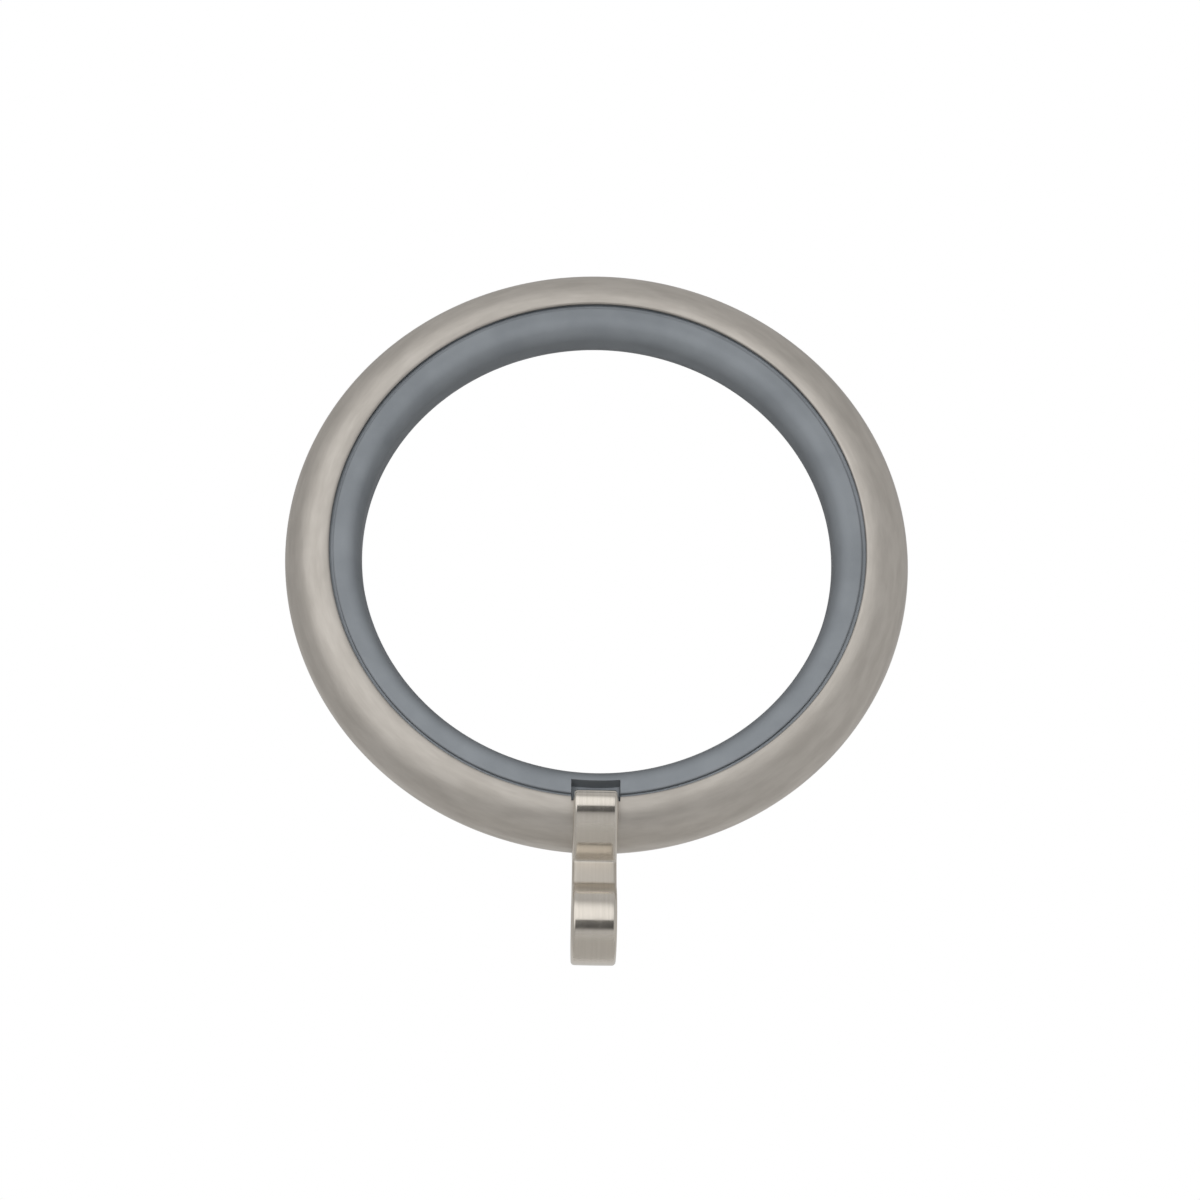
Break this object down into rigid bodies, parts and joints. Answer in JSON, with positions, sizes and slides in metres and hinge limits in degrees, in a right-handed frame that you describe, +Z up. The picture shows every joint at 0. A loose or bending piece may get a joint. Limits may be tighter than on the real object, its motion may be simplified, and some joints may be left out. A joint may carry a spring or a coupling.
{
  "type": "curtain ring",
  "caption": "Curtain ring for a pole: a rolled metal channel ring with a plastic glide liner inside and a bent strap with a round eye below for the curtain hook.",
  "frame": {"origin": "centre of the bore", "axes": "+Z up with the eye hanging at the bottom, +Y along the bore, -Y towards the viewer, +X to the right"},
  "size_m": [0.055, 0.0082, 0.0645],
  "materials": {
    "satin_nickel": "satin nickel plate on rolled steel sheet",
    "grey_plastic": "smooth moulded plastic, low sheen",
    "bright_nickel": "bright nickel plate on steel strip"
  },
  "bodies": {
    "root": {"ring_shell": "satin_nickel", "glide_liner": "grey_plastic", "eye_strap": "bright_nickel"}
  },
  "joints": []
}
